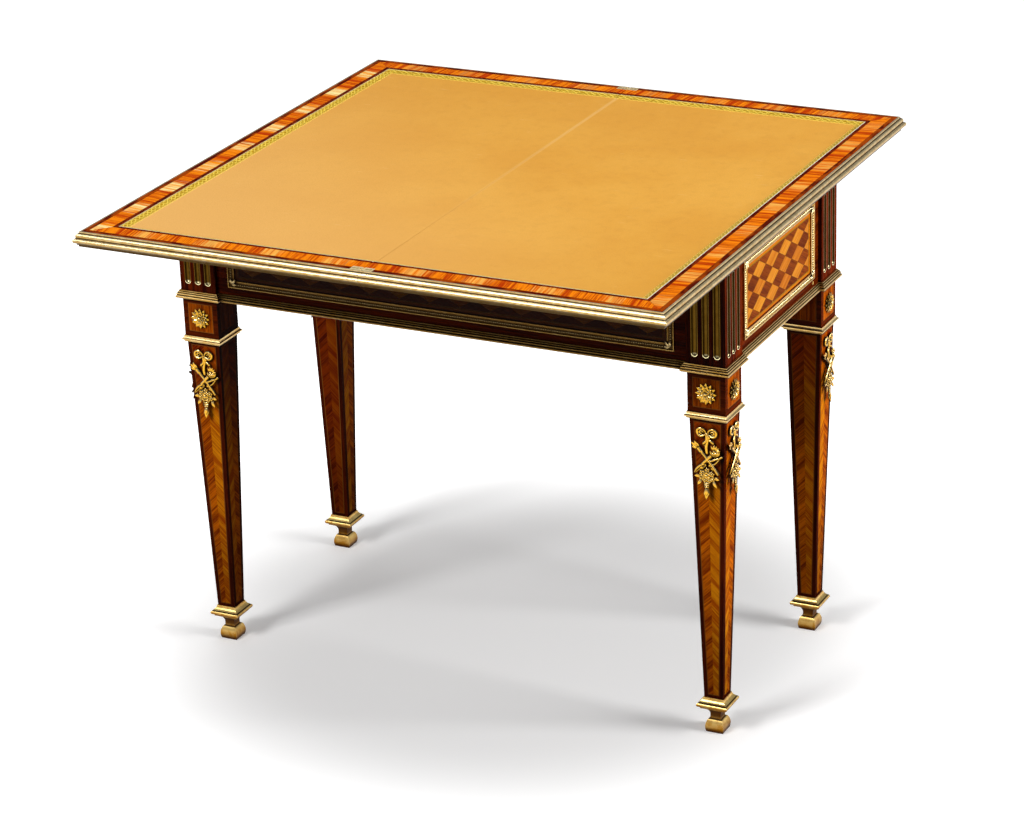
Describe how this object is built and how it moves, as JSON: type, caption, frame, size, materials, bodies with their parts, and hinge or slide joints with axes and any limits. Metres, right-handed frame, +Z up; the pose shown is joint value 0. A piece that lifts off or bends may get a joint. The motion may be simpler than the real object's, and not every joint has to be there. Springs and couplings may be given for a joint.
{
  "type": "games table",
  "caption": "Fold-over games table with a swivel top shown open: leather field, crossbanded edge, brass mouldings, parquetry frieze and square tapered legs.",
  "frame": {"origin": "on the floor under the middle of the open table", "axes": "+X to the right across the fold, +Y to the back, +Z up"},
  "size_m": [0.9182, 0.9182, 0.75],
  "materials": {
    "leg_veneer": "french polished chevron tulipwood veneer with dark edge bands",
    "gilt_brass": "satin gilt brass, cast and burnished",
    "gilt_mounts": "chased and gilt",
    "flute_brass": "satin brass sheet lining",
    "dark_veneer": "polished dark red-brown veneer",
    "parquetry": "polished lozenge parquetry",
    "oak": "plain oiled oak",
    "green_felt": "felt",
    "leaf_board": "polished mahogany",
    "tulipwood_banding": "polished tulipwood crossbanding",
    "leather": "tan leather with gilt tooled border",
    "hinge_brass": "polished flush",
    "screw_brass": "turned",
    "iron": "black iron",
    "beech_peg": "turned beech"
  },
  "bodies": {
    "frame": {"leg_back_left": "leg_veneer", "leg_back_right": "leg_veneer", "leg_front_left": "leg_veneer", "leg_front_right": "leg_veneer", "sabot_back_left": "gilt_brass", "sabot_back_right": "gilt_brass", "sabot_front_left": "gilt_brass", "sabot_front_right": "gilt_brass", "leg_collar_back_left": "gilt_brass", "leg_collar_back_right": "gilt_brass", "leg_collar_front_left": "gilt_brass", "leg_collar_front_right": "gilt_brass", "corner_moulding_back_left": "gilt_brass", "corner_moulding_back_right": "gilt_brass", "corner_moulding_front_left": "gilt_brass", "corner_moulding_front_right": "gilt_brass", "apron_front": "dark_veneer", "apron_back": "dark_veneer", "apron_left": "dark_veneer", "apron_right": "dark_veneer", "parquetry_panel_front": "parquetry", "parquetry_panel_back": "parquetry", "parquetry_panel_left": "parquetry", "parquetry_panel_right": "parquetry", "bead_frame_front": "gilt_brass", "bead_frame_back": "gilt_brass", "bead_frame_left": "gilt_brass", "bead_frame_right": "gilt_brass", "frieze_moulding_front": "gilt_brass", "frieze_moulding_back": "gilt_brass", "frieze_moulding_left": "gilt_brass", "frieze_moulding_right": "gilt_brass", "flute_linings": "flute_brass", "leg_rosettes": "gilt_mounts", "leg_trophies": "gilt_mounts", "catch_stud": "gilt_mounts", "well_board": "oak", "well_partition": "oak", "glue_blocks": "oak", "felt_strips": "green_felt", "pivot_rail": "oak", "pivot_bush": "hinge_brass"},
    "leaf": {"leaf_core": "leaf_board", "leaf_banding": "tulipwood_banding", "leaf_leather": "leather", "leaf_moulding": "gilt_brass", "leaf_hinge_plates": "hinge_brass", "leaf_screws": "screw_brass", "pivot_bolt": "iron", "pivot_washer": "iron", "pivot_nut": "iron", "stop_peg": "beech_peg"},
    "hinge_links": {"hinge_links": "hinge_brass", "hinge_pins": "hinge_brass"},
    "flap": {"flap_core": "leaf_board", "flap_banding": "tulipwood_banding", "flap_leather": "leather", "flap_moulding": "gilt_brass", "flap_hinge_plates": "hinge_brass", "flap_screws": "screw_brass"}
  },
  "joints": [
    {"name": "top_swivel", "type": "hinge", "parent": "frame", "child": "leaf", "pos_m": [0.11475, 0.11475, 0.715], "axis": [0, 0, 1], "range_deg": [-90, 0]},
    {"name": "link_turn", "type": "hinge", "parent": "leaf", "child": "hinge_links", "pos_m": [0.002, 0, 0.7482], "axis": [0, 1, 0], "range_deg": [0, 90]},
    {"name": "flap_fold", "type": "hinge", "parent": "hinge_links", "child": "flap", "pos_m": [-0.002, 0, 0.7482], "axis": [0, 1, 0], "range_deg": [0, 90]}
  ]
}
